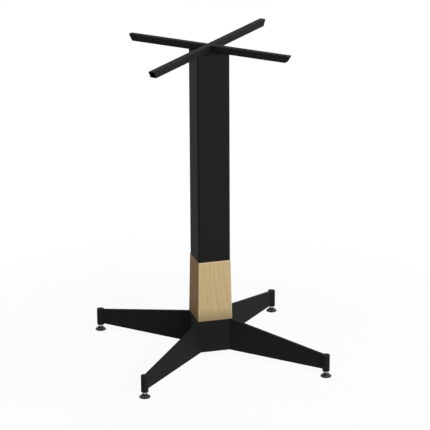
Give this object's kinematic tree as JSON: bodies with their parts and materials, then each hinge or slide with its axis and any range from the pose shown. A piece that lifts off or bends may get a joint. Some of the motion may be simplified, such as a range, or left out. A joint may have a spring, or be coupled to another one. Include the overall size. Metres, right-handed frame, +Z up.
{
  "type": "table base",
  "caption": "Black pedestal table base with a square column, tapered wooden collar, folded sheet legs with levelling feet and a tube cross that carries a table top.",
  "frame": {"origin": "on the floor, under the column's axis", "axes": "+Z up along the column, -Y the front; the column's faces look along X and Y, legs and cross run along the diagonals"},
  "size_m": [0.427, 0.427, 0.704],
  "materials": {
    "black_powder_coat": "satin powder coat",
    "light_timber": "clear lacquer on pale hardwood",
    "bright_zinc": "bright zinc plate",
    "plain_steel": "plain steel",
    "black_moulding": "moulded nylon"
  },
  "bodies": {
    "base": {"column_tube": "black_powder_coat", "column_cap_plate": "black_powder_coat", "column_foot_plate": "plain_steel", "column_weld_nut": "plain_steel", "timber_collar": "light_timber", "collar_core_tube": "plain_steel", "hub_plate": "black_powder_coat", "tie_bolt": "plain_steel", "tie_bolt_washer": "plain_steel", "leg_plate_front": "black_powder_coat", "leg_plate_right": "black_powder_coat", "leg_plate_rear": "black_powder_coat", "leg_plate_left": "black_powder_coat", "end_post_front_left": "black_powder_coat", "end_post_front_right": "black_powder_coat", "end_post_rear_left": "black_powder_coat", "end_post_rear_right": "black_powder_coat", "cross_long_bar": "black_powder_coat", "cross_half_bar_left": "black_powder_coat", "cross_half_bar_right": "black_powder_coat"},
    "foot_front_left": {"foot_stud_front_left": "bright_zinc", "foot_glide_front_left": "black_moulding"},
    "foot_front_right": {"foot_stud_front_right": "bright_zinc", "foot_glide_front_right": "black_moulding"},
    "foot_rear_left": {"foot_stud_rear_left": "bright_zinc", "foot_glide_rear_left": "black_moulding"},
    "foot_rear_right": {"foot_stud_rear_right": "bright_zinc", "foot_glide_rear_right": "black_moulding"}
  },
  "joints": [
    {"name": "level_front_left", "type": "slide", "parent": "base", "child": "foot_front_left", "axis": [0, 0, -1], "range_m": [-0.003, 0.012]},
    {"name": "level_front_right", "type": "slide", "parent": "base", "child": "foot_front_right", "axis": [0, 0, -1], "range_m": [-0.003, 0.012]},
    {"name": "level_rear_left", "type": "slide", "parent": "base", "child": "foot_rear_left", "axis": [0, 0, -1], "range_m": [-0.003, 0.012]},
    {"name": "level_rear_right", "type": "slide", "parent": "base", "child": "foot_rear_right", "axis": [0, 0, -1], "range_m": [-0.003, 0.012]}
  ]
}
